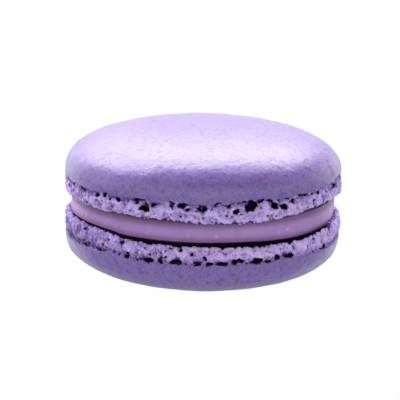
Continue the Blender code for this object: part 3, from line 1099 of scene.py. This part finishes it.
creamLook = {
    "mauve": (0.450, 0.262, 0.605),
    "shade": (0.395, 0.228, 0.540),
    # painted shade colour, under the upper foot's lip
    "under": (0.180, 0.092, 0.215),
    # painted near-black shade in the crevice over the lower foot
    "crevice": (0.010, 0.006, 0.011),
    "bead": (0.660, 0.500, 0.760),
    "streakSize": 1.9 * mm,
    "beadSpacing": 1.6 * mm,
    "stirSize": 0.5 * mm,
    "stirReach": 0.5 * mm,
    "underZone": (-1.65 * mm, -0.45 * mm),    # painted shade, above the upper foot's lip
    "overZone": (1.2 * mm, 0.1 * mm),         # painted shade, above the crevice's edge
    # painted near-black shade at the crevice's edge
    "creviceZone": (0.12 * mm, -0.08 * mm),
    # the painted crevice shade's edge: (degrees to the right of the middle, millimetres above the lower
    # foot's inner face)
    "edgeLevels": (
        (-180, 0.10), (-90, 0.20), (-64, 0.45), (-56, 0.50), (-48, 0.50), (-40, 0.42), (-32, 0.15),
        (-16, 0.12), (0, 0.10), (16, 0.08), (24, -0.06), (32, -0.20), (48, -0.40), (56, -0.42),
        (64, -0.40), (72, -0.60), (90, -0.60), (180, 0.10),
    ),
}


def creamMaterial():
    material, tree, shader, place = newMaterial("mauveCream")
    upright = calcVector(tree, "MULTIPLY", place, (1.0, 1.0, 0.5))
    streak = remap(tree, noiseAt(tree, upright, creamLook["streakSize"], 3.0), 0.35, 0.65, 0.0, 1.0)
    colour = blendColours(tree, streak, creamLook["mauve"], creamLook["shade"])
    stirred = stirPlace(tree, place, creamLook["stirSize"], 2.0, creamLook["stirReach"])
    beads = cellsAt(tree, stirred, creamLook["beadSpacing"])["Distance"]
    bead = remap(tree, beads, 0.05, 0.20, 0.7, 0.0)
    colour = blendColours(tree, bead, colour, creamLook["bead"])
    # painted shade: darker under the upper foot, and painted near-black down in the crevice over the
    # lower one, where it also takes less gloss
    x, y, level = splitVector(tree, place)
    edge = plus(tree, lowerInner, levelRound(tree, x, y, creamLook["edgeLevels"]))
    fromEdge = minus(tree, level, edge)
    underStart, underFull = (upperInner + above for above in creamLook["underZone"])
    under = remap(tree, level, underStart, underFull, 0.0, 0.92, smooth=True)
    colour = blendColours(tree, under, colour, creamLook["under"])
    nearEdge = remap(tree, fromEdge, *creamLook["overZone"], 0.0, 0.75, smooth=True)
    colour = blendColours(tree, nearEdge, colour, creamLook["under"])
    deep = remap(tree, fromEdge, *creamLook["creviceZone"], 0.0, 1.0, smooth=True)
    colour = blendColours(tree, deep, colour, creamLook["crevice"])
    tree.links.new(colour, shader.inputs["Base Color"])
    gloss = minus(tree, 0.3, times(tree, deep, 0.3))
    plug(tree, gloss, shader.inputs["Specular IOR Level"])
    shader.inputs["Roughness"].default_value = 0.5
    addBump(tree, shader, noiseAt(tree, place, 0.6 * mm, 2.0), 0.03 * mm)
    return material


bitLook = {
    "almond": (0.44, 0.29, 0.24),
    "husk": (0.27, 0.17, 0.16),
    "pale": (0.56, 0.40, 0.78),
    "rose": (0.40, 0.26, 0.58),
}


def bitMaterial(name, first, second):
    material, tree, shader, place = newMaterial(name)
    share = remap(tree, noiseAt(tree, place, 0.25 * mm, 2.0), 0.35, 0.65, 0.0, 1.0)
    colour = blendColours(tree, share, bitLook[first], bitLook[second])
    tree.links.new(colour, shader.inputs["Base Color"])
    shader.inputs["Roughness"].default_value = 0.6
    addBump(tree, shader, noiseAt(tree, place, 0.12 * mm, 2.0), 0.04 * mm)
    return material


# the stage, lights and camera

stage = {
    "floorSize": 3.0,
    "floorGlow": 1.0,
}

# the room's light by height, from straight below (0) through the horizon (0.5) to overhead (1)
room = (
    (0.00, 0.58),
    (0.49, 0.58),
    (0.52, 1.14),
    (0.73, 1.14),
    (0.77, 0.02),
)
wallBehind = 1.55      # added behind the macaron at both sides, below the soft boxes
wallTop = 0.25         # as the sine of the angle up

# soft boxes at one distance: direction round and up, width and height in degrees, power in watts
lampDistance = 0.6
lamps = {
    "backHigh": {"round": 107, "up": 57.5, "wide": 80, "tall": 29, "power": 9.8},
    "backLow": {"round": 104, "up": 36, "wide": 80, "tall": 14, "power": 1.3},
    "leftLow": {"round": 120, "up": 29, "wide": 36, "tall": 16, "power": 0.45},
    "leftFill": {"round": 180, "up": 30, "wide": 50, "tall": 40, "power": 0.15},
    "rightFill": {"round": 0, "up": 30, "wide": 50, "tall": 40, "power": 0.15},
    "frontFill": {"round": 270, "up": 18, "wide": 60, "tall": 30, "power": 0.5},
}

shot = {
    "elevation": 14.3,
    "distance": 0.230,
    "lens": 125.7,
    "roll": 0.945,
    "aimLevel": 11.5 * mm,
    "aimShift": (-0.44 * mm, 0.24 * mm),
}


def makeStage():
    # a glowing white ground that only the camera sees, as the photo's ground takes no shadow
    half = stage["floorSize"] / 2
    corners = [(-half, -half, 0), (half, -half, 0), (half, half, 0), (-half, half, 0)]
    mesh = bpy.data.meshes.new("floor")
    mesh.from_pydata(corners, [], [(0, 1, 2, 3)])
    floor = addObject("floor", mesh)
    material = bpy.data.materials.new("blankGround")
    material.use_nodes = True
    shader = material.node_tree.nodes["Principled BSDF"]
    shader.inputs["Base Color"].default_value = (0.0, 0.0, 0.0, 1.0)
    shader.inputs["Specular IOR Level"].default_value = 0.0
    shader.inputs["Emission Color"].default_value = (1.0, 1.0, 1.0, 1.0)
    shader.inputs["Emission Strength"].default_value = stage["floorGlow"]
    mesh.materials.append(material)
    floor.visible_diffuse = False
    floor.visible_glossy = False


def makeRoom():
    world = bpy.data.worlds.new("softRoom")
    world.use_nodes = True
    tree = world.node_tree
    aside, ahead, upward = splitVector(tree, tree.nodes.new("ShaderNodeTexCoord").outputs["Generated"])
    greys = [(position, (level, level, level)) for position, level in room]
    byHeight = rampThrough(tree, remap(tree, upward, -1.0, 1.0, 0.0, 1.0), greys)
    behind = remap(tree, ahead, 0.4, 0.75, 0.0, wallBehind)
    behind = times(tree, behind, calc(tree, "LESS_THAN", upward, wallTop))
    atSides = remap(tree, calc(tree, "ABSOLUTE", aside), 0.25, 0.6, 0.0, 1.0)
    level = plus(tree, byHeight, times(tree, behind, atSides))
    background = tree.nodes["Background"]
    background.inputs["Color"].default_value = (1.0, 1.0, 1.0, 1.0)
    tree.links.new(level, background.inputs["Strength"])
    bpy.context.scene.world = world


def makeLamps():
    centre = Vector((0.0, 0.0, 12 * mm))
    for name, lamp in lamps.items():
        turn, rise = math.radians(lamp["round"]), math.radians(lamp["up"])
        flat = math.cos(rise)
        toward = Vector((math.cos(turn) * flat, math.sin(turn) * flat, math.sin(rise)))
        light = bpy.data.lights.new(name, "AREA")
        light.shape = "RECTANGLE"
        light.size = 2 * lampDistance * math.tan(math.radians(lamp["wide"] / 2))
        light.size_y = 2 * lampDistance * math.tan(math.radians(lamp["tall"] / 2))
        light.energy = lamp["power"]
        holder = addObject(name, light)
        holder.location = centre + toward * lampDistance
        holder.rotation_euler = toward.to_track_quat("Z", "Y").to_euler()


def makeCamera():
    tilt = math.radians(shot["elevation"])
    camera = bpy.data.cameras.new("camera")
    camera.lens = shot["lens"]
    camera.clip_start = 0.01
    holder = addObject("camera", camera)
    sideways, upward = shot["aimShift"]
    place = (
        sideways,
        -shot["distance"] * math.cos(tilt) + upward * math.sin(tilt),
        shot["aimLevel"] + shot["distance"] * math.sin(tilt) + upward * math.cos(tilt),
    )
    tip = Matrix.Rotation(math.pi / 2 - tilt, 4, "X")
    roll = Matrix.Rotation(math.radians(shot["roll"]), 4, "Z")
    holder.matrix_world = Matrix.Translation(place) @ tip @ roll
    bpy.context.scene.camera = holder
    bpy.context.scene.view_settings.view_transform = "Standard"


crustPaint = crustMaterial()
crumbPaint = footMaterial()
for crustName in crusts:
    makeCrust(crustName, crustPaint)
print("crusts turned")
for footName in feet:
    makeFoot(footName, crumbPaint)
print("feet grown")
makeLitter("almondSpecks", bitMaterial("almond", "almond", "husk"))
makeLitter("looseCrumbs", bitMaterial("looseCrumb", "pale", "rose"))
print("crumbs strewn")
makeCream(creamMaterial())
print("cream piped")
makeStage()
makeRoom()
makeLamps()
makeCamera()
